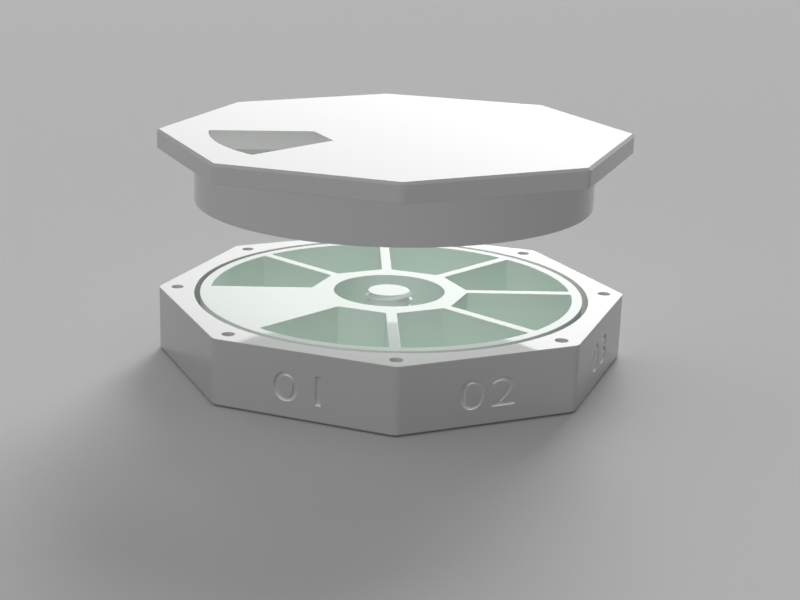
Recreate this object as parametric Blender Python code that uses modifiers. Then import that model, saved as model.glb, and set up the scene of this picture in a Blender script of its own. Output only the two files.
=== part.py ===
"""Octagonal seven-day pill case.

An octagonal base holds a round cell tray and a centre post. The lid is an
octagonal plate with one sector window. Its round skirt drops into the groove
between base and tray, and its hub turns on the post, so that the window can
stand over any cell or over the blank sector. Magnets in the corners hold each
eighth of a turn. The lid is modelled lifted off, straight above its seat.

The bottom of the base is at z = 0 and every axis of turning is the Z axis.
"""

import math

import bmesh
import bpy
from mathutils import Matrix

MM = 0.001

# Outline that the base and the lid share
SIDES = 8
ACROSS_CORNERS = 100.0 * MM
CORNER_ROUND = 2.4 * MM
EDGE_CHAMFER = 0.45 * MM

# Heights of the base, its floor, the mat and the lid
BASE_HEIGHT = 14.0 * MM
BASE_FLOOR = 2.0 * MM
MAT_THICKNESS = 1.0 * MM
LID_THICKNESS = 4.0 * MM
LID_RAISE = 30.4 * MM

# Walls from the outline inwards
RIM_WALL = 4.17 * MM
SKIRT_WALL = 0.88 * MM
TRAY_WALL = 2.2 * MM
SPOKE_WIDTH = 2.25 * MM

# Walls from the post outwards
POST_RADIUS = 5.0 * MM
BUSHING_WALL = 2.0 * MM
BOSS_WALL = 4.0 * MM
HUB_WALL = 3.9 * MM

# Centre post
POST_CHAMFER = 0.6 * MM
POST_SPIGOT_STEP = 2.0 * MM

# Lid skirt and hub below the plate
SKIRT_END_CLEARANCE = 0.9 * MM
BOSS_END_CLEARANCE = 2.4 * MM
SKIRT_ROOT_CHAMFER = 0.3 * MM
LEAD_IN = 0.4 * MM
SNAP_RIB = 0.6 * MM
SNAP_HEIGHT = 1.0 * MM

# Corner magnets
MAGNET_RADIUS = 1.0 * MM
MAGNET_HEIGHT = 2.0 * MM
MAGNET_CHAMFER = 0.15 * MM
MAGNET_INSET = 4.1 * MM
BASE_MAGNET_RECESS = 1.0 * MM
LID_MAGNET_RECESS = 0.3 * MM

# Clearances: where a piece rests or is held, and where the skirt turns
SEAT_GAP = 0.3 * MM
RUNNING_GAP = 0.15 * MM

# How far a cutter runs past what it cuts, and what counts as one point
OVERRUN = 0.5 * MM
MERGE = 0.001 * MM

# Facets of the large rounds, the hub rounds, the small rounds and the corners
LARGE_STEPS = 96
HUB_STEPS = 40
SMALL_STEPS = 16
CORNER_STEPS = 4
CELL_ARC_STEPS = 12

# The sector that stays closed, counted in eighths of a turn from +X
BLANK_SECTOR = 5

# What follows from the sizes above
SECTOR = 2.0 * math.pi / SIDES
HALF_SECTOR = SECTOR / 2.0
CORNER_RADIUS = ACROSS_CORNERS / 2.0
APOTHEM = CORNER_RADIUS * math.cos(HALF_SECTOR)

WELL_RADIUS = APOTHEM - RIM_WALL
SKIRT_OUTER_RADIUS = WELL_RADIUS - RUNNING_GAP
SKIRT_INNER_RADIUS = SKIRT_OUTER_RADIUS - SKIRT_WALL
TRAY_RADIUS = SKIRT_INNER_RADIUS - RUNNING_GAP
CELL_RADIUS = TRAY_RADIUS - TRAY_WALL
MAT_RADIUS = WELL_RADIUS - SEAT_GAP

BUSHING_INNER_RADIUS = POST_RADIUS + SEAT_GAP
BUSHING_OUTER_RADIUS = BUSHING_INNER_RADIUS + BUSHING_WALL
BOSS_INNER_RADIUS = BUSHING_OUTER_RADIUS + SEAT_GAP
BOSS_OUTER_RADIUS = BOSS_INNER_RADIUS + BOSS_WALL
BORE_RADIUS = BOSS_OUTER_RADIUS + SEAT_GAP
HUB_APOTHEM = BORE_RADIUS + HUB_WALL
SPIGOT_RADIUS = POST_RADIUS - POST_SPIGOT_STEP

MAT_BOTTOM = BASE_FLOOR + SEAT_GAP
MAT_TOP = MAT_BOTTOM + MAT_THICKNESS
TRAY_BOTTOM = MAT_TOP + SEAT_GAP
POST_SHOULDER = BASE_FLOOR + SEAT_GAP
CLOSED_UNDERSIDE = BASE_HEIGHT + SEAT_GAP
LID_UNDERSIDE = CLOSED_UNDERSIDE + LID_RAISE
SKIRT_DEPTH = CLOSED_UNDERSIDE - MAT_TOP - SKIRT_END_CLEARANCE
BOSS_DEPTH = CLOSED_UNDERSIDE - MAT_TOP - BOSS_END_CLEARANCE
SNAP_MIDDLE = -BOSS_DEPTH / 2.0

MAGNET_CIRCLE_RADIUS = CORNER_RADIUS - MAGNET_INSET
MAGNET_HOLE_RADIUS = MAGNET_RADIUS + SEAT_GAP


def clear_objects():
    for obj in list(bpy.data.objects):
        bpy.data.objects.remove(obj, do_unlink=True)


def new_collection(name):
    collection = bpy.data.collections.new(name)
    bpy.context.scene.collection.children.link(collection)
    return collection


def new_object(name, mesh, collection):
    obj = bpy.data.objects.new(name, mesh)
    collection.objects.link(obj)
    return obj


def principled(name, colour, roughness, metallic):
    material = bpy.data.materials.new(name)
    material.use_nodes = True
    shader = material.node_tree.nodes["Principled BSDF"]
    shader.inputs["Base Color"].default_value = (*colour, 1.0)
    shader.inputs["Roughness"].default_value = roughness
    shader.inputs["Metallic"].default_value = metallic
    material.diffuse_color = (*colour, 1.0)
    return material


def white_plastic(name):
    return principled(name, (0.82, 0.83, 0.82), 0.15, 0.0)


def mint_plastic(name):
    return principled(name, (0.47, 0.69, 0.56), 0.2, 0.0)


def nickel_plate(name):
    return principled(name, (0.66, 0.65, 0.62), 0.28, 1.0)


def cylinder_mesh(name, sides, radius, bottom, top, places=((0.0, 0.0),), turn=0.0):
    """One mesh with an upright cylinder or prism at each place."""
    bm = bmesh.new()
    for x, y in places:
        move = Matrix.Translation((x, y, (bottom + top) / 2.0))
        bmesh.ops.create_cone(
            bm,
            cap_ends=True,
            segments=sides,
            radius1=radius,
            radius2=radius,
            depth=top - bottom,
            matrix=move @ Matrix.Rotation(turn, 4, "Z"),
        )
    mesh = bpy.data.meshes.new(name)
    bm.to_mesh(mesh)
    bm.free()
    return mesh


def octagon_mesh(name, bottom, top, chamfer_top):
    """The shared outline as a prism, its corners rounded and one rim chamfered."""
    mesh = cylinder_mesh(name, SIDES, CORNER_RADIUS, bottom, top, turn=HALF_SECTOR)
    bm = bmesh.new()
    bm.from_mesh(mesh)
    upright = [e for e in bm.edges if abs(e.verts[0].co.z - e.verts[1].co.z) > MERGE]
    bmesh.ops.bevel(
        bm,
        geom=upright,
        offset=CORNER_ROUND * math.tan(HALF_SECTOR),
        offset_type="OFFSET",
        segments=CORNER_STEPS,
        profile=0.5,
        affect="EDGES",
    )
    level = top if chamfer_top else bottom
    rim = [e for e in bm.edges if all(abs(v.co.z - level) < MERGE for v in e.verts)]
    bmesh.ops.bevel(
        bm,
        geom=rim,
        offset=EDGE_CHAMFER,
        offset_type="OFFSET",
        segments=1,
        affect="EDGES",
    )
    bm.to_mesh(mesh)
    bm.free()
    return mesh


def turned_object(name, profile, steps, collection):
    """A solid of revolution. The profile is a list of (radius, z) points that runs
    down its outer side. One that starts off the axis is closed into a ring."""
    mesh = bpy.data.meshes.new(name)
    points = [(radius, 0.0, z) for radius, z in profile]
    edges = [(i, i + 1) for i in range(len(points) - 1)]
    if profile[0][0] > 0.0:
        edges.append((len(points) - 1, 0))
    mesh.from_pydata(points, edges, [])
    obj = new_object(name, mesh, collection)
    screw = obj.modifiers.new("turn", "SCREW")
    screw.axis = "Z"
    screw.steps = steps
    screw.render_steps = steps
    screw.use_merge_vertices = True
    screw.merge_threshold = MERGE
    return obj


def outline_object(name, outlines, bottom, top, collection):
    """Flat outlines made solid between two heights, as one mesh that can cut."""
    curve = bpy.data.curves.new(name, "CURVE")
    curve.dimensions = "2D"
    curve.fill_mode = "BOTH"
    curve.extrude = (top - bottom) / 2.0
    for outline in outlines:
        spline = curve.splines.new("POLY")
        spline.points.add(len(outline) - 1)
        for point, (x, y) in zip(spline.points, outline):
            point.co = (x, y, 0.0, 1.0)
        spline.use_cyclic_u = True
    source = new_object(name + "_outline", curve, collection)
    source.location.z = (bottom + top) / 2.0
    bpy.context.view_layer.update()
    evaluated = source.evaluated_get(bpy.context.evaluated_depsgraph_get())
    mesh = bpy.data.meshes.new_from_object(evaluated)
    bm = bmesh.new()
    bm.from_mesh(mesh)
    bmesh.ops.remove_doubles(bm, verts=bm.verts, dist=MERGE)
    bmesh.ops.recalc_face_normals(bm, faces=bm.faces)
    bm.to_mesh(mesh)
    bm.free()
    obj = new_object(name, mesh, collection)
    obj.matrix_world = source.matrix_world.copy()
    bpy.data.objects.remove(source, do_unlink=True)
    return obj


def as_guide(obj):
    obj.hide_render = True
    obj.display_type = "WIRE"
    return obj


def cut(obj, cutter):
    boolean = obj.modifiers.new("cut_" + cutter.name, "BOOLEAN")
    boolean.operation = "DIFFERENCE"
    boolean.object = as_guide(cutter)


def join(obj, added):
    boolean = obj.modifiers.new("join_" + added.name, "BOOLEAN")
    boolean.operation = "UNION"
    boolean.object = as_guide(added)


def shade_round(obj):
    """Applies the modifiers, then shades rounds smooth and keeps real edges sharp."""
    bpy.context.view_layer.update()
    evaluated = obj.evaluated_get(bpy.context.evaluated_depsgraph_get())
    mesh = bpy.data.meshes.new_from_object(evaluated)
    mesh.name = obj.name
    obj.modifiers.clear()
    obj.data = mesh
    mesh.shade_smooth()
    mesh.set_sharp_from_angle(angle=HALF_SECTOR)


def set_material(obj, material):
    obj.data.materials.clear()
    obj.data.materials.append(material)


def cell_outline(sector):
    """One cell's outline: a flat side on the hub, two sides along the spokes and an
    arc outside. The lid's window has it too."""
    half_spoke = SPOKE_WIDTH / 2.0
    inner = HUB_APOTHEM
    half_flat = inner * math.tan(HALF_SECTOR) - half_spoke / math.cos(HALF_SECTOR)
    reach = HALF_SECTOR - math.asin(half_spoke / CELL_RADIUS)
    points = [(inner, half_flat), (inner, -half_flat)]
    for step in range(CELL_ARC_STEPS + 1):
        angle = reach * (2.0 * step / CELL_ARC_STEPS - 1.0)
        points.append((CELL_RADIUS * math.cos(angle), CELL_RADIUS * math.sin(angle)))
    turn = sector * SECTOR
    cosine, sine = math.cos(turn), math.sin(turn)
    return [(x * cosine - y * sine, x * sine + y * cosine) for x, y in points]


def corner_places():
    angles = [HALF_SECTOR + corner * SECTOR for corner in range(SIDES)]
    radius = MAGNET_CIRCLE_RADIUS
    return [(radius * math.cos(a), radius * math.sin(a)) for a in angles]


def make_base_shell(parts, cutters):
    """The octagonal base: a round well, eight blind corner holes and a post hole."""
    shell = new_object(
        "base_shell", octagon_mesh("base_shell", 0.0, BASE_HEIGHT, False), parts
    )
    above = BASE_HEIGHT + OVERRUN
    well = cylinder_mesh("well", LARGE_STEPS, WELL_RADIUS, BASE_FLOOR, above)
    cut(shell, new_object("well_cutter", well, cutters))
    spigot_hole = cylinder_mesh(
        "spigot_hole", HUB_STEPS, SPIGOT_RADIUS + SEAT_GAP, -OVERRUN, BASE_FLOOR + OVERRUN
    )
    cut(shell, new_object("spigot_hole_cutter", spigot_hole, cutters))
    hole_floor = BASE_HEIGHT - BASE_MAGNET_RECESS - MAGNET_HEIGHT - SEAT_GAP
    holes = cylinder_mesh(
        "base_holes", SMALL_STEPS, MAGNET_HOLE_RADIUS, hole_floor, above, corner_places()
    )
    cut(shell, new_object("base_holes_cutter", holes, cutters))
    shade_round(shell)
    set_material(shell, white_plastic("base_shell"))


def make_floor_mat(parts):
    """The mint disc that floors every cell, with a hole for the post."""
    hole = POST_RADIUS + SEAT_GAP
    profile = [
        (hole, MAT_TOP),
        (MAT_RADIUS, MAT_TOP),
        (MAT_RADIUS, MAT_BOTTOM),
        (hole, MAT_BOTTOM),
    ]
    mat = turned_object("floor_mat", profile, LARGE_STEPS, parts)
    shade_round(mat)
    set_material(mat, mint_plastic("floor_mat"))


def make_cell_tray(parts, cutters):
    """The round tray: outer wall, seven spokes round an octagonal hub, and the sector
    that stays closed."""
    disc = cylinder_mesh(
        "cell_tray", LARGE_STEPS, TRAY_RADIUS, TRAY_BOTTOM, BASE_HEIGHT
    )
    tray = new_object("cell_tray", disc, parts)
    below, above = TRAY_BOTTOM - OVERRUN, BASE_HEIGHT + OVERRUN
    open_sectors = [sector for sector in range(SIDES) if sector != BLANK_SECTOR]
    outlines = [cell_outline(sector) for sector in open_sectors]
    cut(tray, outline_object("cells_cutter", outlines, below, above, cutters))
    bore = cylinder_mesh("bore", HUB_STEPS, BORE_RADIUS, below, above)
    cut(tray, new_object("bore_cutter", bore, cutters))
    shade_round(tray)
    set_material(tray, white_plastic("cell_tray"))


def make_pivot_post(parts):
    """The post, chamfered at its top, with a spigot through the base's floor."""
    top = BASE_HEIGHT
    profile = [
        (0.0, top),
        (POST_RADIUS - POST_CHAMFER, top),
        (POST_RADIUS, top - POST_CHAMFER),
        (POST_RADIUS, POST_SHOULDER),
        (SPIGOT_RADIUS, POST_SHOULDER),
        (SPIGOT_RADIUS, SEAT_GAP),
        (0.0, SEAT_GAP),
    ]
    post = turned_object("pivot_post", profile, HUB_STEPS, parts)
    shade_round(post)
    set_material(post, white_plastic("pivot_post"))


def magnet_mesh():
    """A disc magnet with broken edges, its middle at the origin."""
    mesh = cylinder_mesh(
        "magnet", SMALL_STEPS, MAGNET_RADIUS, -MAGNET_HEIGHT / 2.0, MAGNET_HEIGHT / 2.0
    )
    bm = bmesh.new()
    bm.from_mesh(mesh)
    level = [e for e in bm.edges if abs(e.verts[0].co.z - e.verts[1].co.z) < MERGE]
    bmesh.ops.bevel(
        bm,
        geom=level,
        offset=MAGNET_CHAMFER,
        offset_type="OFFSET",
        segments=1,
        affect="EDGES",
    )
    bm.to_mesh(mesh)
    bm.free()
    mesh.shade_smooth()
    mesh.set_sharp_from_angle(angle=HALF_SECTOR)
    return mesh


def make_magnets(prefix, mesh, middle, parts, parent=None):
    for number, (x, y) in enumerate(corner_places(), start=1):
        magnet = new_object(f"{prefix}_{number}", mesh, parts)
        magnet.location = (x, y, middle)
        magnet.parent = parent


def make_axis(name, height, parts, parent=None):
    """An empty on the Z axis, at the place of a moving piece's joint."""
    axis = new_object(name, None, parts)
    axis.location.z = height
    axis.parent = parent
    return axis


def skirt_profile():
    """The thin round skirt below a plate whose underside is at z = 0."""
    root = SKIRT_ROOT_CHAMFER
    return [
        (SKIRT_INNER_RADIUS, OVERRUN),
        (SKIRT_OUTER_RADIUS + root, OVERRUN),
        (SKIRT_OUTER_RADIUS + root, 0.0),
        (SKIRT_OUTER_RADIUS, -root),
        (SKIRT_OUTER_RADIUS, -SKIRT_DEPTH),
        (SKIRT_INNER_RADIUS, -SKIRT_DEPTH),
    ]


def boss_profile():
    """The hub boss below the same plate, with the snap groove inside it."""
    groove = BOSS_INNER_RADIUS + SNAP_RIB
    half_groove = SNAP_HEIGHT / 2.0 + SEAT_GAP
    return [
        (BOSS_INNER_RADIUS, OVERRUN),
        (BOSS_OUTER_RADIUS, OVERRUN),
        (BOSS_OUTER_RADIUS, LEAD_IN - BOSS_DEPTH),
        (BOSS_OUTER_RADIUS - LEAD_IN, -BOSS_DEPTH),
        (BOSS_INNER_RADIUS, -BOSS_DEPTH),
        (BOSS_INNER_RADIUS, SNAP_MIDDLE - half_groove),
        (groove, SNAP_MIDDLE - half_groove),
        (groove, SNAP_MIDDLE + half_groove),
        (BOSS_INNER_RADIUS, SNAP_MIDDLE + half_groove),
    ]


def make_lid_shell(parts, cutters, axis):
    """The lid: an octagonal plate with a sector window, the skirt and the hub boss."""
    plate = octagon_mesh("lid_shell", 0.0, LID_THICKNESS, True)
    shell = new_object("lid_shell", plate, parts)
    join(shell, turned_object("lid_skirt", skirt_profile(), LARGE_STEPS, cutters))
    join(shell, turned_object("lid_boss", boss_profile(), HUB_STEPS, cutters))
    above = LID_THICKNESS + OVERRUN
    window = [cell_outline(BLANK_SECTOR)]
    cut(shell, outline_object("window_cutter", window, -OVERRUN, above, cutters))
    hole_top = LID_MAGNET_RECESS + MAGNET_HEIGHT + SEAT_GAP
    holes = cylinder_mesh(
        "lid_holes", SMALL_STEPS, MAGNET_HOLE_RADIUS, -OVERRUN, hole_top, corner_places()
    )
    cut(shell, new_object("lid_holes_cutter", holes, cutters))
    shade_round(shell)
    set_material(shell, white_plastic("lid_shell"))
    shell.parent = axis


def make_lid_bushing(parts, axis):
    """The bush on which the lid turns. Its rib, eased above, clicks into the boss's
    snap groove from below, and its lower end is eased where the post goes in."""
    top, bottom = -SEAT_GAP, SEAT_GAP - BOSS_DEPTH
    rib = BUSHING_OUTER_RADIUS + SNAP_RIB
    half_rib = SNAP_HEIGHT / 2.0
    profile = [
        (BUSHING_INNER_RADIUS, top),
        (BUSHING_OUTER_RADIUS, top),
        (BUSHING_OUTER_RADIUS, SNAP_MIDDLE + half_rib),
        (rib, SNAP_MIDDLE + half_rib - LEAD_IN),
        (rib, SNAP_MIDDLE - half_rib),
        (BUSHING_OUTER_RADIUS, SNAP_MIDDLE - half_rib),
        (BUSHING_OUTER_RADIUS, bottom),
        (BUSHING_INNER_RADIUS + LEAD_IN, bottom),
        (BUSHING_INNER_RADIUS, bottom + LEAD_IN),
    ]
    bushing = turned_object("lid_bushing", profile, HUB_STEPS, parts)
    shade_round(bushing)
    set_material(bushing, white_plastic("lid_bushing"))
    bushing.parent = axis


def make_pill_case():
    clear_objects()
    parts = new_collection("pill_case")
    cutters = new_collection("cutters")
    make_base_shell(parts, cutters)
    make_floor_mat(parts)
    make_cell_tray(parts, cutters)
    make_pivot_post(parts)
    magnet = magnet_mesh()
    magnet.materials.append(nickel_plate("magnet"))
    base_middle = BASE_HEIGHT - BASE_MAGNET_RECESS - MAGNET_HEIGHT / 2.0
    make_magnets("base_magnet", magnet, base_middle, parts)
    lift_axis = make_axis("lid_lift_axis", LID_UNDERSIDE, parts)
    turn_axis = make_axis("lid_turn_axis", 0.0, parts, lift_axis)
    make_lid_bushing(parts, lift_axis)
    make_lid_shell(parts, cutters, turn_axis)
    lid_middle = LID_MAGNET_RECESS + MAGNET_HEIGHT / 2.0
    make_magnets("lid_magnet", magnet, lid_middle, parts, turn_axis)
    bpy.context.view_layer.update()


make_pill_case()
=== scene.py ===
import math

import bmesh
import bpy
from mathutils import Matrix, Vector


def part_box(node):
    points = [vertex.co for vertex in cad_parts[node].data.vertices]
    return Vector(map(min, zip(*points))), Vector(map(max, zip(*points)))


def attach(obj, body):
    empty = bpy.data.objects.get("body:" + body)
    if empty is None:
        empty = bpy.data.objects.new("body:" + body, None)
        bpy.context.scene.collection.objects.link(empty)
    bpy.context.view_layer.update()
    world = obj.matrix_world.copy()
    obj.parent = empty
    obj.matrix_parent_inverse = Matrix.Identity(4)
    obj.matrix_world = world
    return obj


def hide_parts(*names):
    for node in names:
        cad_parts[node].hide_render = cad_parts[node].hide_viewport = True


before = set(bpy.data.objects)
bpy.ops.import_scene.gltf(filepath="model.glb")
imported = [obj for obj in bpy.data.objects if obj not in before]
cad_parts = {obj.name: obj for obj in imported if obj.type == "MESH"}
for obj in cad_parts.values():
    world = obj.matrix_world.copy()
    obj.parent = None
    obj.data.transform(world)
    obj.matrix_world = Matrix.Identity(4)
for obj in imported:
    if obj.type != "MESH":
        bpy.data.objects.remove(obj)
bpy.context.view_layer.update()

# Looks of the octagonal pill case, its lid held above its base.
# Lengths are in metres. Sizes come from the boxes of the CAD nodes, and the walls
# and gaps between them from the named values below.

MM = 0.001

# Corners of the boxes of the CAD nodes. The base stands on height 0
BASE_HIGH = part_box("base_shell")[1]
LID_LOW, LID_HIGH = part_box("lid_shell")
TRAY_LOW, TRAY_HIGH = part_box("cell_tray")
MAT_LOW, MAT_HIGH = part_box("floor_mat")
POST_LOW, POST_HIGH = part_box("pivot_post")
BUSHING_LOW, BUSHING_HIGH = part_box("lid_bushing")

# Octagon
SIDES = 8
SECTOR = 2.0 * math.pi / SIDES
HALF_SECTOR = SECTOR / 2.0
BLANK_SECTOR = 5
APOTHEM = BASE_HIGH.x
CORNER_RADIUS = APOTHEM / math.cos(HALF_SECTOR)
CORNER_ROUND = 2.4 * MM
FOOT_CHAMFER = 0.45 * MM
LID_CHAMFER = 0.55 * MM

# Walls and gaps
BASE_FLOOR = 2.0 * MM
RIM_WALL = 4.17 * MM
SKIRT_WALL = 0.88 * MM
SKIRT_ROOT = 0.3 * MM
TRAY_WALL = 2.2 * MM
SPOKE_WIDTH = 2.25 * MM
HUB_WALL = 3.9 * MM
BOSS_WALL = 4.0 * MM
LID_THICKNESS = 4.0 * MM
SEAT_GAP = 0.3 * MM
RUNNING_GAP = 0.15 * MM
LEAD_IN = 0.4 * MM
SNAP_RIB = 0.6 * MM
SNAP_HEIGHT = 1.0 * MM
BOSS_DEPTH = 8.6 * MM

BASE_TOP = BASE_HIGH.z
LID_UNDERSIDE = LID_HIGH.z - LID_THICKNESS
SKIRT_END = LID_LOW.z
BOSS_END = LID_UNDERSIDE - BOSS_DEPTH
WELL_RADIUS = APOTHEM - RIM_WALL
SKIRT_OUTER = WELL_RADIUS - RUNNING_GAP
SKIRT_INNER = SKIRT_OUTER - SKIRT_WALL
TRAY_RADIUS = TRAY_HIGH.x
CELL_RADIUS = TRAY_RADIUS - TRAY_WALL
POST_RADIUS = POST_HIGH.x
BUSHING_INNER = POST_RADIUS + SEAT_GAP
BUSHING_OUTER = BUSHING_HIGH.x - SNAP_RIB
BOSS_INNER = BUSHING_OUTER + SEAT_GAP
BOSS_OUTER = BOSS_INNER + BOSS_WALL
BORE_RADIUS = BOSS_OUTER + SEAT_GAP
HUB_APOTHEM = BORE_RADIUS + HUB_WALL
SNAP_MIDDLE = LID_UNDERSIDE - BOSS_DEPTH / 2.0

# Post and its thread. The photo shows its highest crest at an angle from +X and a drop
# below the post's top. The thread is made longer than the post, with some turns above
# that crest
SPIGOT_STEP = 2.0 * MM
SPIGOT_RADIUS = POST_RADIUS - SPIGOT_STEP
POST_SHOULDER = BASE_FLOOR + SEAT_GAP
POST_CHAMFER = 0.6 * MM
THREAD_PITCH = 1.5 * MM
THREAD_DEPTH = 0.9 * MM
THREAD_CREST = 0.25 * MM
THREAD_ROOT = 0.25 * MM
THREAD_ANGLE = math.radians(20.3)
THREAD_DROP = 0.45 * MM
THREAD_TURNS = 11
TURNS_FROM_CREST = 2

# Magnets and their holes
MAGNET_INSET = 4.1 * MM
MAGNET_RADIUS = 1.0 * MM
MAGNET_CHAMFER = 0.15 * MM
HOLE_RADIUS = MAGNET_RADIUS + SEAT_GAP
MAGNET_CIRCLE = CORNER_RADIUS - MAGNET_INSET

# Edges are eased by small rounds, as a mould leaves them, and cutters run past what
# they cut
EASE = 0.1 * MM
FINE_EASE = 0.08 * MM
CELL_CORNER = 0.4 * MM
OVERRUN = 0.5 * MM
BELOW_LID = SKIRT_END - OVERRUN

# What is eased, a block's edge or a cutter's mouth, and which way its flat looks
BLOCK = -1.0
MOUTH = 1.0
UP = 1.0
DOWN = -1.0

# Facets of large and small rounds, of a corner, of a cell's arc and of an eased edge,
# and the least angle between facets that stays an edge
LARGE_STEPS = 192
HUB_STEPS = 96
SMALL_STEPS = 48
CORNER_STEPS = 12
CELL_ARC_STEPS = 32
EASE_STEPS = 3
SHARP_ANGLE = math.radians(9.0)

# Numbers sunk into the side faces, from the one right of the bare face round to the
# right. The half thickness and the weld distance are in font units
NUMBER_HEIGHT = 6.05 * MM
NUMBER_MIDDLE = 6.6 * MM
NUMBER_DEPTH = 0.5 * MM
NUMBER_SPACING = 1.15
NUMBER_STRETCH = 1.35
TEXT_HALF_THICKNESS = 0.5
FONT_WELD = 0.0001
FIRST_NUMBERED_SECTOR = 6
NUMBERED_FACES = 7

# The camera's place, its azimuth from the front round to the right and its elevation,
# found from the corners and holes in the photo, and the photo's size, focal length and
# optical centre in pixels
CAMERA_PLACE = Vector((109.13, -294.40, 106.71)) * MM
CAMERA_AZIMUTH = math.radians(25.936)
CAMERA_ELEVATION = math.radians(16.901)
FOCAL_PIXELS = 1508.7
PHOTO_SIZE = (800.0, 600.0)
OPTICAL_CENTRE = (247.2, 300.0)
SENSOR_WIDTH = 36.0
CLIP_START = 0.01
CLIP_END = 20.0

# Plastics: their colours, and two finishes as roughness, mottle in colour, and size
# and depth of the surface grain
WHITE = (0.80, 0.80, 0.795)
TRAY_WHITE = (0.81, 0.87, 0.83)
MINT = (0.47, 0.69, 0.56)
POLISHED = (0.05, 0.006, 0.25 * MM, 0.001 * MM)
SATIN = (0.2, 0.03, 0.4 * MM, 0.003 * MM)
PLASTIC_IOR = 1.46
CLOUD_SIZE = 9.0 * MM
CLOUD_DETAIL = 3.0
GLOSS_SPREAD = 0.02
GRAIN_DETAIL = 2.0
GRAIN_STRENGTH = 0.5

# Nickel: its duller and brighter colour, the ends of its roughness and its spots
NICKEL_COLOURS = ((0.52, 0.51, 0.49), (0.68, 0.67, 0.64))
NICKEL_ROUGHNESS = (0.25, 0.45)
SPOT_SIZE = 0.6 * MM
SPOT_DETAIL = 2.0

# Floor and room. The floor shows one grey to the camera and to mirror rays, and gives
# back a darker one to the object
FLOOR_SIZE = 6.0
FLOOR_SINK = 0.05 * MM
FLOOR_COLOUR = 0.9
FLOOR_BOUNCE = 0.34
BACKDROP_LEVEL = 0.445
ROOM_LEVEL = 0.17

# Lamps. A place is an azimuth, from the back round by the right, and an elevation, and
# a size is a width and a height, all in degrees as seen from the object
LIGHT_DISTANCE = 8.0
BACK_PLACE = (-18.0, 17.0)
BACK_SIZE = (36.0, 28.0)
SIDE_SIZE = (45.0, 40.0)
TOP_PLACE = (0.0, 88.0)
TOP_SIZE = (50.0, 50.0)
SUN_ANGLE = 26.0


def circle(radius, steps, centre=(0.0, 0.0)):
    """A round outline, run anticlockwise."""
    angles = [2.0 * math.pi * step / steps for step in range(steps)]
    x, y = centre
    return [(x + radius * math.cos(a), y + radius * math.sin(a)) for a in angles]


def turns(outline):
    """Each point of an outline, with the directions that lead to it and from it."""
    points = [Vector(point) for point in outline]
    for before, here, after in zip(points[-1:] + points[:-1], points, points[1:] + points[:1]):
        yield here, (here - before).normalized(), (after - here).normalized()


def grown(outline, by):
    """A convex outline, run anticlockwise, moved outwards by a distance."""
    moved = []
    for here, before, after in turns(outline):
        normals = Vector((before.y, -before.x)) + Vector((after.y, -after.x))
        moved.append(tuple(here + normals * (by / (1.0 + before.dot(after)))))
    return moved


def rounded(outline, radius, steps):
    """A convex outline with an arc of one radius in place of each corner."""
    points = []
    for here, before, after in turns(outline):
        turn = math.acos(max(-1.0, min(1.0, before.dot(after))))
        if turn < SHARP_ANGLE:
            points.append(tuple(here))
            continue
        start = here - before * (radius * math.tan(turn / 2.0))
        centre = start + Vector((-before.y, before.x)) * radius
        spoke = start - centre
        for step in range(steps + 1):
            turned = Matrix.Rotation(turn * step / steps, 2) @ spoke
            points.append(tuple(centre + turned))
    return points


def corners(radius):
    """Points towards the octagon's eight corners, all at one distance from the axis."""
    angles = [HALF_SECTOR + SECTOR * corner for corner in range(SIDES)]
    return [(radius * math.cos(a), radius * math.sin(a)) for a in angles]


def octagon():
    """The outline of base and lid, with rounded corners."""
    return rounded(corners(CORNER_RADIUS), CORNER_ROUND, CORNER_STEPS)


def cell(sector):
    """One cell's outline: a flat on the hub, two sides along spokes and an arc."""
    half_spoke = SPOKE_WIDTH / 2.0
    half_flat = HUB_APOTHEM * math.tan(HALF_SECTOR) - half_spoke / math.cos(HALF_SECTOR)
    reach = HALF_SECTOR - math.asin(half_spoke / CELL_RADIUS)
    points = [(HUB_APOTHEM, half_flat), (HUB_APOTHEM, -half_flat)]
    for step in range(CELL_ARC_STEPS + 1):
        angle = reach * (2.0 * step / CELL_ARC_STEPS - 1.0)
        points.append((CELL_RADIUS * math.cos(angle), CELL_RADIUS * math.sin(angle)))
    turn = Matrix.Rotation(sector * SECTOR, 2)
    turned = [tuple(turn @ Vector(point)) for point in points]
    return rounded(turned, CELL_CORNER, CORNER_STEPS)


def eased(level, ease, side, way):
    """Offsets and heights, from below, of a quarter round where a wall meets a flat.
    A BLOCK turns in there and a MOUTH out, and the flat looks UP or DOWN."""
    levels = []
    for step in range(EASE_STEPS + 1):
        angle = math.pi / 2.0 * step / EASE_STEPS
        offset = side * ease * (1.0 - math.cos(angle))
        levels.append((offset, level - way * ease * (1.0 - math.sin(angle))))
    return levels if way == UP else levels[::-1]


def add_stack(bm, outline, levels):
    """Adds a closed solid: the outline at each (offset, height) level, from below."""
    rows = []
    for offset, height in levels:
        rows.append([bm.verts.new((x, y, height)) for x, y in grown(outline, offset)])
    for lower, upper in zip(rows, rows[1:]):
        for i in range(len(lower)):
            j = (i + 1) % len(lower)
            bm.faces.new((lower[i], lower[j], upper[j], upper[i]))
    bm.faces.new(rows[0][::-1])
    bm.faces.new(rows[-1])


def mesh_object(name, bm):
    """Puts a finished mesh in the scene as an object."""
    mesh = bpy.data.meshes.new(name)
    bm.to_mesh(mesh)
    bm.free()
    obj = bpy.data.objects.new(name, mesh)
    bpy.context.scene.collection.objects.link(obj)
    return obj


def stack(name, outlines, levels):
    """An object of closed solids, one for each outline, all with the same levels."""
    bm = bmesh.new()
    for outline in outlines:
        add_stack(bm, outline, levels)
    return mesh_object(name, bm)


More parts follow.
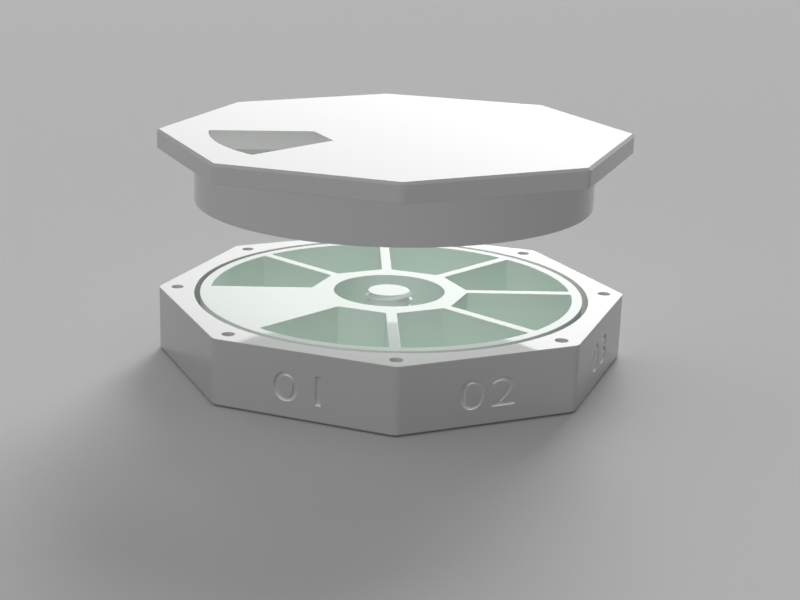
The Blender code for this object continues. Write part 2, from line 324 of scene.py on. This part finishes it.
def ring(name, profile, steps):
    """A solid of revolution about Z from a closed profile of (radius, height)."""
    bm = bmesh.new()
    columns = []
    for step in range(steps):
        angle = 2.0 * math.pi * step / steps
        cosine, sine = math.cos(angle), math.sin(angle)
        columns.append([bm.verts.new((r * cosine, r * sine, z)) for r, z in profile])
    for column, after in zip(columns, columns[1:] + columns[:1]):
        for i in range(len(profile)):
            j = (i + 1) % len(profile)
            bm.faces.new((column[i], column[j], after[j], after[i]))
    bmesh.ops.recalc_face_normals(bm, faces=bm.faces)
    return mesh_object(name, bm)


def shade(obj):
    """Large rounds are smooth, and eased edges and flats keep their own shading."""
    obj.data.shade_smooth()
    obj.data.set_sharp_from_angle(angle=SHARP_ANGLE)


def result_mesh(obj):
    """A mesh of what an object's modifiers or its text make."""
    bpy.context.view_layer.update()
    evaluated = obj.evaluated_get(bpy.context.evaluated_depsgraph_get())
    return bpy.data.meshes.new_from_object(evaluated)


def combine(obj, tools, operation):
    """Cuts the tools from a piece, joins them to it, or keeps what they share."""
    for tool in tools:
        boolean = obj.modifiers.new(tool.name, "BOOLEAN")
        boolean.operation = operation
        boolean.object = tool
    mesh = result_mesh(obj)
    obj.modifiers.clear()
    obj.data = mesh
    for tool in tools:
        bpy.data.objects.remove(tool, do_unlink=True)


def text_mesh(text):
    """The text as a flat solid, centred in width and thickness, in font units."""
    curve = bpy.data.curves.new("number", "FONT")
    curve.body = text
    curve.align_x = "CENTER"
    curve.space_character = NUMBER_SPACING
    curve.extrude = TEXT_HALF_THICKNESS
    source = bpy.data.objects.new("number", curve)
    bpy.context.scene.collection.objects.link(source)
    mesh = result_mesh(source)
    bpy.data.objects.remove(source, do_unlink=True)
    return mesh


def number_cutter(text, sector):
    """A number set upright on a side face, half in it, as deep as its engraving."""
    bm = bmesh.new()
    bm.from_mesh(text_mesh(text))
    bmesh.ops.remove_doubles(bm, verts=bm.verts, dist=FONT_WELD)
    heights = [v.co.y for v in bm.verts]
    low, high = min(heights), max(heights)
    scale = NUMBER_HEIGHT / (high - low)
    angle = sector * SECTOR
    out = Vector((math.cos(angle), math.sin(angle), 0.0))
    across = Vector((-math.sin(angle), math.cos(angle), 0.0))
    for v in bm.verts:
        x, y, z = v.co
        depth = z / TEXT_HALF_THICKNESS * NUMBER_DEPTH
        place = across * (x * scale * NUMBER_STRETCH) + out * (APOTHEM + depth)
        place.z = NUMBER_MIDDLE + (y - (low + high) / 2.0) * scale
        v.co = place
    return mesh_object("number_" + text, bm)


def new_material(name):
    """A new material, its node tree and its shader."""
    material = bpy.data.materials.new(name)
    material.use_nodes = True
    tree = material.node_tree
    return material, tree, tree.nodes["Principled BSDF"]


def noise(tree, size, detail):
    """The value of a noise that runs through an object with grains of one size."""
    place = tree.nodes.new("ShaderNodeTexCoord")
    texture = tree.nodes.new("ShaderNodeTexNoise")
    texture.inputs["Scale"].default_value = 1.0 / size
    texture.inputs["Detail"].default_value = detail
    tree.links.new(place.outputs["Object"], texture.inputs["Vector"])
    return texture.outputs["Fac"]


def mix_colours(tree, colours, factor, target):
    """Leads a mix of two colours by a factor to a node's input."""
    mix = tree.nodes.new("ShaderNodeMix")
    mix.data_type = "RGBA"
    for end, colour in zip("AB", colours):
        mix.inputs[end].default_value = (*colour, 1.0)
    tree.links.new(factor, mix.inputs["Factor"])
    tree.links.new(mix.outputs["Result"], target)


def mix_values(tree, values, factor, target):
    """Leads a mix of two values by a factor to a node's input."""
    mix = tree.nodes.new("ShaderNodeMapRange")
    for end, value in zip(("To Min", "To Max"), values):
        mix.inputs[end].default_value = value
    tree.links.new(factor, mix.inputs["Value"])
    tree.links.new(mix.outputs["Result"], target)


def plastic(name, colour, roughness, mottle, grain_size, grain_depth):
    """Moulded plastic: a faint mottle in colour and gloss, and a fine surface grain."""
    material, tree, shader = new_material(name)
    shader.inputs["IOR"].default_value = PLASTIC_IOR
    cloud = noise(tree, CLOUD_SIZE, CLOUD_DETAIL)
    colours = [[c * (1.0 - mottle) for c in colour], [c * (1.0 + mottle) for c in colour]]
    mix_colours(tree, colours, cloud, shader.inputs["Base Color"])
    levels = (roughness - GLOSS_SPREAD, roughness + GLOSS_SPREAD)
    mix_values(tree, levels, cloud, shader.inputs["Roughness"])

    bump = tree.nodes.new("ShaderNodeBump")
    bump.inputs["Strength"].default_value = GRAIN_STRENGTH
    bump.inputs["Distance"].default_value = grain_depth
    tree.links.new(noise(tree, grain_size, GRAIN_DETAIL), bump.inputs["Height"])
    tree.links.new(bump.outputs["Normal"], shader.inputs["Normal"])
    return material


def nickel(name):
    """Nickel plate with small spots of duller plating."""
    material, tree, shader = new_material(name)
    shader.inputs["Metallic"].default_value = 1.0
    spots = noise(tree, SPOT_SIZE, SPOT_DETAIL)
    mix_colours(tree, NICKEL_COLOURS, spots, shader.inputs["Base Color"])
    mix_values(tree, NICKEL_ROUGHNESS, spots, shader.inputs["Roughness"])
    return material


def dress(obj, material, body, node):
    """Gives a piece its material and its body, and lets it stand for a CAD node."""
    obj.data.materials.clear()
    obj.data.materials.append(material)
    shade(obj)
    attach(obj, body)
    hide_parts(node)
    return obj


def cut_levels(bottom, top, bottom_mouth, top_mouth):
    """Levels of a cutter. A mouth is the ease of an open end; None is a blind end."""
    levels = []
    if bottom_mouth is None:
        levels.append((0.0, bottom))
    else:
        levels.append((bottom_mouth, bottom - OVERRUN))
        levels += eased(bottom, bottom_mouth, MOUTH, DOWN)
    if top_mouth is None:
        levels.append((0.0, top))
    else:
        levels += eased(top, top_mouth, MOUTH, UP)
        levels.append((top_mouth, top + OVERRUN))
    return levels


def magnet_holes(levels):
    """Cutters for the magnets' holes, one in each corner."""
    outlines = [circle(HOLE_RADIUS, SMALL_STEPS, place) for place in corners(MAGNET_CIRCLE)]
    return stack("holes", outlines, levels)


def make_base(material):
    """The octagonal base: chamfered foot, round well, corner holes, sunk numbers."""
    levels = [(-FOOT_CHAMFER, 0.0), (0.0, FOOT_CHAMFER)]
    levels += eased(BASE_TOP, EASE, BLOCK, UP)
    base = stack("base_case", [octagon()], levels)
    well = stack(
        "well", [circle(WELL_RADIUS, LARGE_STEPS)], cut_levels(BASE_FLOOR, BASE_TOP, None, EASE)
    )
    magnet_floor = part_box("base_magnet_1")[0].z - SEAT_GAP
    holes = magnet_holes(cut_levels(magnet_floor, BASE_TOP, None, FINE_EASE))
    spigot_hole = stack(
        "spigot_hole",
        [circle(SPIGOT_RADIUS + SEAT_GAP, HUB_STEPS)],
        cut_levels(0.0, BASE_FLOOR, FINE_EASE, FINE_EASE),
    )
    numbers = []
    for number in range(1, NUMBERED_FACES + 1):
        sector = FIRST_NUMBERED_SECTOR + number - 1
        numbers.append(number_cutter(f"{number:02d}", sector))
    combine(base, [well, holes, spigot_hole, *numbers], "DIFFERENCE")
    return dress(base, material, "base", "base_shell")


def make_mat(material):
    """The mint disc on the well's floor, with a hole round the post."""
    low, high = MAT_LOW.z, MAT_HIGH.z
    hole = POST_RADIUS + SEAT_GAP
    profile = [
        (hole + EASE, high),
        (MAT_HIGH.x - EASE, high),
        (MAT_HIGH.x, high - EASE),
        (MAT_HIGH.x, low),
        (hole, low),
        (hole, high - EASE),
    ]
    mat = ring("mint_mat", profile, LARGE_STEPS)
    return dress(mat, material, "base", "floor_mat")


def make_tray(material):
    """The cell tray, with every rim of its cells, bore and wall eased."""
    low, high = TRAY_LOW.z, TRAY_HIGH.z
    levels = eased(low, EASE, BLOCK, DOWN) + eased(high, EASE, BLOCK, UP)
    tray = stack("tray", [circle(TRAY_RADIUS, LARGE_STEPS)], levels)
    cells = [cell(sector) for sector in range(SIDES) if sector != BLANK_SECTOR]
    cutter = stack("cells", cells, cut_levels(low, high, FINE_EASE, EASE))
    bore = stack(
        "bore", [circle(BORE_RADIUS, HUB_STEPS)], cut_levels(low, high, FINE_EASE, EASE)
    )
    combine(tray, [cutter, bore], "DIFFERENCE")
    return dress(tray, material, "base", "cell_tray")


def thread():
    """A threaded rod longer than the post: rows that climb one pitch in each turn."""
    flank = (THREAD_PITCH - THREAD_CREST - THREAD_ROOT) / 2.0
    root = POST_RADIUS - THREAD_DEPTH
    profile = [
        (root, 0.0),
        (root, THREAD_ROOT),
        (POST_RADIUS + FINE_EASE, THREAD_ROOT + flank),
        (POST_RADIUS + FINE_EASE, THREAD_PITCH - flank),
    ]
    foot = POST_HIGH.z - THREAD_DROP - (THREAD_PITCH - flank - THREAD_CREST / 2.0)
    foot -= THREAD_PITCH * (THREAD_TURNS - TURNS_FROM_CREST)
    bm = bmesh.new()
    rows = []
    for turn in range(THREAD_TURNS + 1):
        for radius, rise in profile:
            row = []
            for step in range(HUB_STEPS):
                part = step / HUB_STEPS
                angle = THREAD_ANGLE + 2.0 * math.pi * part
                z = foot + rise + THREAD_PITCH * (turn + part)
                row.append(bm.verts.new((radius * math.cos(angle), radius * math.sin(angle), z)))
            rows.append(row)
    count = len(profile)
    wound = [row + [after[0]] for row, after in zip(rows, rows[count:])]
    for low, high in zip(wound, wound[1:]):
        for step in range(HUB_STEPS):
            bm.faces.new((low[step], low[step + 1], high[step + 1], high[step]))
    for index in (0, len(wound) - 1):
        rim = wound[index] + [row[0] for row in reversed(rows[index + 1:index + count])]
        centre = bm.verts.new((0.0, 0.0, sum(v.co.z for v in rim) / len(rim)))
        for here, after in zip(rim, rim[1:] + rim[:1]):
            bm.faces.new((here, after, centre))
    bmesh.ops.recalc_face_normals(bm, faces=bm.faces)
    return mesh_object("thread", bm)


def make_post(material):
    """The centre post: a threaded stud, chamfered at its top, on its spigot."""
    step = SPIGOT_RADIUS - POST_RADIUS
    levels = [(step - FINE_EASE, POST_LOW.z), (step, POST_LOW.z + FINE_EASE)]
    levels.append((step, POST_SHOULDER))
    levels += eased(POST_SHOULDER, FINE_EASE, BLOCK, DOWN)
    levels += [(0.0, POST_HIGH.z - POST_CHAMFER), (-POST_CHAMFER, POST_HIGH.z)]
    post = stack("centre_post", [circle(POST_RADIUS, HUB_STEPS)], levels)
    combine(post, [thread()], "INTERSECT")
    return dress(post, material, "base", "pivot_post")


def lid_plate():
    """The lid's plate. Its corners are round, and the chamfer round its top is mitred."""
    levels = eased(LID_UNDERSIDE, EASE, BLOCK, DOWN) + [(0.0, LID_HIGH.z + OVERRUN)]
    plate = stack("lid_case", [octagon()], levels)
    bevel = [
        (OVERRUN, LID_UNDERSIDE - OVERRUN),
        (OVERRUN, LID_HIGH.z - LID_CHAMFER - OVERRUN),
        (-LID_CHAMFER, LID_HIGH.z),
    ]
    combine(plate, [stack("bevel", [corners(CORNER_RADIUS)], bevel)], "INTERSECT")
    return plate


def skirt_block():
    """The skirt before it is hollowed, wider at its root and run up into the plate."""
    levels = eased(SKIRT_END, EASE, BLOCK, DOWN)
    levels += [(0.0, LID_UNDERSIDE - SKIRT_ROOT), (SKIRT_ROOT, LID_UNDERSIDE)]
    levels.append((SKIRT_ROOT, LID_UNDERSIDE + LID_THICKNESS / 2.0))
    return stack("skirt", [circle(SKIRT_OUTER, LARGE_STEPS)], levels)


def lid_hollow():
    """Cutter for the room between skirt and boss and for what is below the boss."""
    profile = [
        (SKIRT_INNER - EASE, LID_UNDERSIDE),
        (SKIRT_INNER, LID_UNDERSIDE - EASE),
        (SKIRT_INNER, SKIRT_END + FINE_EASE),
        (SKIRT_INNER + FINE_EASE, SKIRT_END),
        (SKIRT_INNER + FINE_EASE, BELOW_LID),
        (BOSS_INNER / 2.0, BELOW_LID),
        (BOSS_INNER / 2.0, BOSS_END),
        (BOSS_OUTER - LEAD_IN, BOSS_END),
        (BOSS_OUTER, BOSS_END + LEAD_IN),
        (BOSS_OUTER, LID_UNDERSIDE - EASE),
        (BOSS_OUTER + EASE, LID_UNDERSIDE),
    ]
    return ring("hollow", profile, LARGE_STEPS)


def bush_seat():
    """Cutter for the bush's seat in the boss, with a groove for its snap rib."""
    groove = SNAP_HEIGHT / 2.0 + SEAT_GAP
    levels = [
        (0.0, BELOW_LID),
        (0.0, SNAP_MIDDLE - groove),
        (SNAP_RIB, SNAP_MIDDLE - groove),
        (SNAP_RIB, SNAP_MIDDLE + groove),
        (0.0, SNAP_MIDDLE + groove),
        (0.0, LID_UNDERSIDE),
    ]
    return stack("seat", [circle(BOSS_INNER, HUB_STEPS)], levels)


def make_lid(material):
    """The lid: plate, skirt and hub boss, with the window, bush seat and holes."""
    lid = lid_plate()
    combine(lid, [skirt_block()], "UNION")
    window = stack(
        "window", [cell(BLANK_SECTOR)], cut_levels(LID_UNDERSIDE, LID_HIGH.z, EASE, FINE_EASE)
    )
    hole_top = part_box("lid_magnet_1")[1].z + SEAT_GAP
    holes = magnet_holes(cut_levels(LID_UNDERSIDE, hole_top, FINE_EASE, None))
    combine(lid, [lid_hollow(), bush_seat(), window, holes], "DIFFERENCE")
    return dress(lid, material, "lid", "lid_shell")


def make_bushing(material):
    """The bush in the boss, with its snap rib and its eased way in for the post."""
    low, high = BUSHING_LOW.z, BUSHING_HIGH.z
    rib = BUSHING_OUTER + SNAP_RIB
    half = SNAP_HEIGHT / 2.0
    profile = [
        (BUSHING_INNER + FINE_EASE, high),
        (BUSHING_OUTER - FINE_EASE, high),
        (BUSHING_OUTER, high - FINE_EASE),
        (BUSHING_OUTER, SNAP_MIDDLE + half),
        (rib, SNAP_MIDDLE + half - LEAD_IN),
        (rib, SNAP_MIDDLE - half),
        (BUSHING_OUTER, SNAP_MIDDLE - half),
        (BUSHING_OUTER, low + FINE_EASE),
        (BUSHING_OUTER - FINE_EASE, low),
        (BUSHING_INNER + LEAD_IN, low),
        (BUSHING_INNER, low + LEAD_IN),
        (BUSHING_INNER, high - FINE_EASE),
    ]
    bushing = ring("bush", profile, HUB_STEPS)
    return dress(bushing, material, "lid_pivot", "lid_bushing")


def make_magnets(prefix, body, material):
    """Disc magnets with eased edges, each in place of its CAD node."""
    chamfer = MAGNET_CHAMFER
    magnets = []
    for number, place in enumerate(corners(MAGNET_CIRCLE), start=1):
        node = f"{prefix}_{number}"
        low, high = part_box(node)
        levels = [
            (-chamfer, low.z),
            (0.0, low.z + chamfer),
            (0.0, high.z - chamfer),
            (-chamfer, high.z),
        ]
        outline = circle(MAGNET_RADIUS, SMALL_STEPS, place)
        magnet = stack(f"{prefix}_disc_{number}", [outline], levels)
        dress(magnet, material, body, node)
        magnets.append(magnet)
    return magnets


def seen_rays(tree):
    """1 for the rays that show a background: camera, mirror and see-through rays."""
    path = tree.nodes.new("ShaderNodeLightPath")
    rays = path.outputs["Is Camera Ray"]
    for kind in ("Is Glossy Ray", "Is Transmission Ray"):
        either = tree.nodes.new("ShaderNodeMath")
        either.operation = "MAXIMUM"
        tree.links.new(rays, either.inputs[0])
        tree.links.new(path.outputs[kind], either.inputs[1])
        rays = either.outputs["Value"]
    return rays


def make_floor():
    """A plain pale floor that runs past the view on every side."""
    bm = bmesh.new()
    half = FLOOR_SIZE / 2.0
    outline = [(-half, -half), (half, -half), (half, half), (-half, half)]
    bm.faces.new([bm.verts.new((x, y, -FLOOR_SINK)) for x, y in outline])
    floor = mesh_object("floor", bm)
    material, tree, shader = new_material("floor_paint")
    greys = [[level] * 3 for level in (FLOOR_BOUNCE, FLOOR_COLOUR)]
    mix_colours(tree, greys, seen_rays(tree), shader.inputs["Base Color"])
    shader.inputs["Roughness"].default_value = 1.0
    shader.inputs["Specular IOR Level"].default_value = 0.0
    floor.data.materials.append(material)
    return floor


def make_world():
    """Even room light, and a backdrop in the floor's grey for the rays that show one."""
    world = bpy.data.worlds.new("room")
    bpy.context.scene.world = world
    world.use_nodes = True
    tree = world.node_tree
    tree.nodes.clear()
    mix = tree.nodes.new("ShaderNodeMixShader")
    tree.links.new(seen_rays(tree), mix.inputs["Fac"])
    for entry, colour, strength in ((1, 1.0, ROOM_LEVEL), (2, BACKDROP_LEVEL, 1.0)):
        background = tree.nodes.new("ShaderNodeBackground")
        background.inputs["Color"].default_value = (colour, colour, colour, 1.0)
        background.inputs["Strength"].default_value = strength
        tree.links.new(background.outputs["Background"], mix.inputs[entry])
    out = tree.nodes.new("ShaderNodeOutputWorld")
    tree.links.new(mix.outputs["Shader"], out.inputs["Surface"])


def direction(azimuth, elevation):
    """The direction to a place, its azimuth from the back round by the right."""
    flat = math.cos(elevation)
    return Vector((math.sin(azimuth) * flat, math.cos(azimuth) * flat, math.sin(elevation)))


def aim(light, place, distance=0.0):
    """Puts a light in the scene, unseen itself, to shine on the object from a place."""
    lamp = bpy.data.objects.new(light.name, light)
    bpy.context.scene.collection.objects.link(lamp)
    towards = direction(*[math.radians(angle) for angle in place])
    lamp.rotation_mode = "QUATERNION"
    lamp.rotation_quaternion = towards.to_track_quat("Z", "Y")
    lamp.location = towards * distance
    lamp.visible_camera = False
    return lamp


def make_sun(name, place, energy):
    """A soft sun that shows in no mirror image."""
    light = bpy.data.lights.new(name, "SUN")
    light.energy = energy
    light.angle = math.radians(SUN_ANGLE)
    sun = aim(light, place)
    sun.visible_glossy = False
    return sun


def group(name, pieces):
    """A collection of pieces that a light can be linked to."""
    collection = bpy.data.collections.new(name)
    for piece in pieces:
        collection.objects.link(piece)
    return collection


def share(light, receivers, blockers=None):
    """Lets a light shine on some pieces alone, in the shade of some or of all."""
    light.light_linking.receiver_collection = receivers
    if blockers:
        light.light_linking.blocker_collection = blockers


def softbox(name, place, size, levels):
    """A far rectangular light whose level runs from its right side to its left. Its
    power is such that a level of 1 is white."""
    width, height = size
    light = bpy.data.lights.new(name, "AREA")
    light.shape = "RECTANGLE"
    light.size = 2.0 * LIGHT_DISTANCE * math.tan(math.radians(width / 2.0))
    light.size_y = 2.0 * LIGHT_DISTANCE * math.tan(math.radians(height / 2.0))
    light.energy = math.pi * light.size * light.size_y
    light.use_nodes = True
    tree = light.node_tree
    geometry = tree.nodes.new("ShaderNodeNewGeometry")
    split = tree.nodes.new("ShaderNodeSeparateXYZ")
    tree.links.new(geometry.outputs["Parametric"], split.inputs["Vector"])
    mix_values(tree, levels, split.outputs["X"], tree.nodes["Emission"].inputs["Strength"])
    return aim(light, place, LIGHT_DISTANCE)


def make_camera():
    """The photo's camera, a level one with its optical centre off the middle."""
    width, height = PHOTO_SIZE
    back = direction(math.pi - CAMERA_AZIMUTH, CAMERA_ELEVATION)
    right = Vector((math.cos(CAMERA_AZIMUTH), math.sin(CAMERA_AZIMUTH), 0.0))
    data = bpy.data.cameras.new("photo_camera")
    data.sensor_width = SENSOR_WIDTH
    data.lens = FOCAL_PIXELS / width * SENSOR_WIDTH
    data.shift_x = (width / 2.0 - OPTICAL_CENTRE[0]) / width
    data.shift_y = (OPTICAL_CENTRE[1] - height / 2.0) / width
    data.clip_start = CLIP_START
    data.clip_end = CLIP_END
    camera = bpy.data.objects.new("photo_camera", data)
    bpy.context.scene.collection.objects.link(camera)
    turn = Matrix((right, back.cross(right), back)).transposed()
    camera.matrix_world = Matrix.Translation(CAMERA_PLACE) @ turn.to_4x4()
    bpy.context.scene.camera = camera


white = plastic("white_plastic", WHITE, *POLISHED)
tray_white = plastic("tray_plastic", TRAY_WHITE, *POLISHED)
mint = plastic("mint_plastic", MINT, *SATIN)
plate = nickel("nickel_plate")

base = make_base(white)
mat = make_mat(mint)
tray = make_tray(tray_white)
post = make_post(tray_white)
base_magnets = make_magnets("base_magnet", "base", plate)
lid = make_lid(white)
bushing = make_bushing(white)
lid_magnets = make_magnets("lid_magnet", "lid", plate)
floor = make_floor()
make_world()

upper = [lid, bushing, *lid_magnets]
lower = [base, mat, tray, post, *base_magnets]
everything = group("everything", [*lower, *upper, floor])
lid_group = group("lid", upper)
lower_group = group("lower", lower)
floor_group = group("ground", [floor])
case_group = group("case", [base, *base_magnets])
inner_group = group("inner", [mat, tray, post])
post_group = group("post", [post])

# Lamps behind the object, one for each group of pieces, brighter at their right side
for name, levels, receivers in (
    ("lid_back", (1.9, 0.82), lid_group),
    ("case_back", (3.0, 0.85), case_group),
    ("inner_back", (2.65, 0.7), inner_group),
    ("floor_back", (2.6, 0.8), floor_group),
):
    share(softbox(name, BACK_PLACE, BACK_SIZE, levels), receivers)

# Even lamps at the front, at the left and overhead
for name, place, size, level, receivers, blockers in (
    ("lid_front", (180.0, 35.0), SIDE_SIZE, 1.03, lid_group, floor_group),
    ("lid_left", (250.0, 35.0), SIDE_SIZE, 0.22, lid_group, floor_group),
    ("floor_front_left", (225.0, 35.0), SIDE_SIZE, 0.12, floor_group, everything),
    ("floor_left", (270.0, 35.0), SIDE_SIZE, 0.21, floor_group, everything),
    ("floor_back_left", (315.0, 35.0), SIDE_SIZE, 0.25, floor_group, everything),
    ("floor_top", TOP_PLACE, TOP_SIZE, 0.22, floor_group, everything),
    ("case_front", (184.0, 35.0), SIDE_SIZE, 0.94, case_group, case_group),
    ("inner_front", (172.0, 35.0), SIDE_SIZE, 0.88, inner_group, case_group),
    ("lower_top", TOP_PLACE, TOP_SIZE, 0.11, lower_group, case_group),
):
    share(softbox(name, place, size, (level, level)), receivers, blockers)

for name, place, energy, receivers, blockers in (
    ("lid_sun", (-2.0, 24.0), 2.5, lid_group, floor_group),
    ("floor_sun", (-7.0, 24.0), 1.35, floor_group, everything),
    ("lower_sun", (-2.0, 45.0), 1.4, lower_group, post_group),
):
    share(make_sun(name, place, energy), receivers, blockers)
make_camera()
bpy.context.scene.view_settings.view_transform = "Standard"
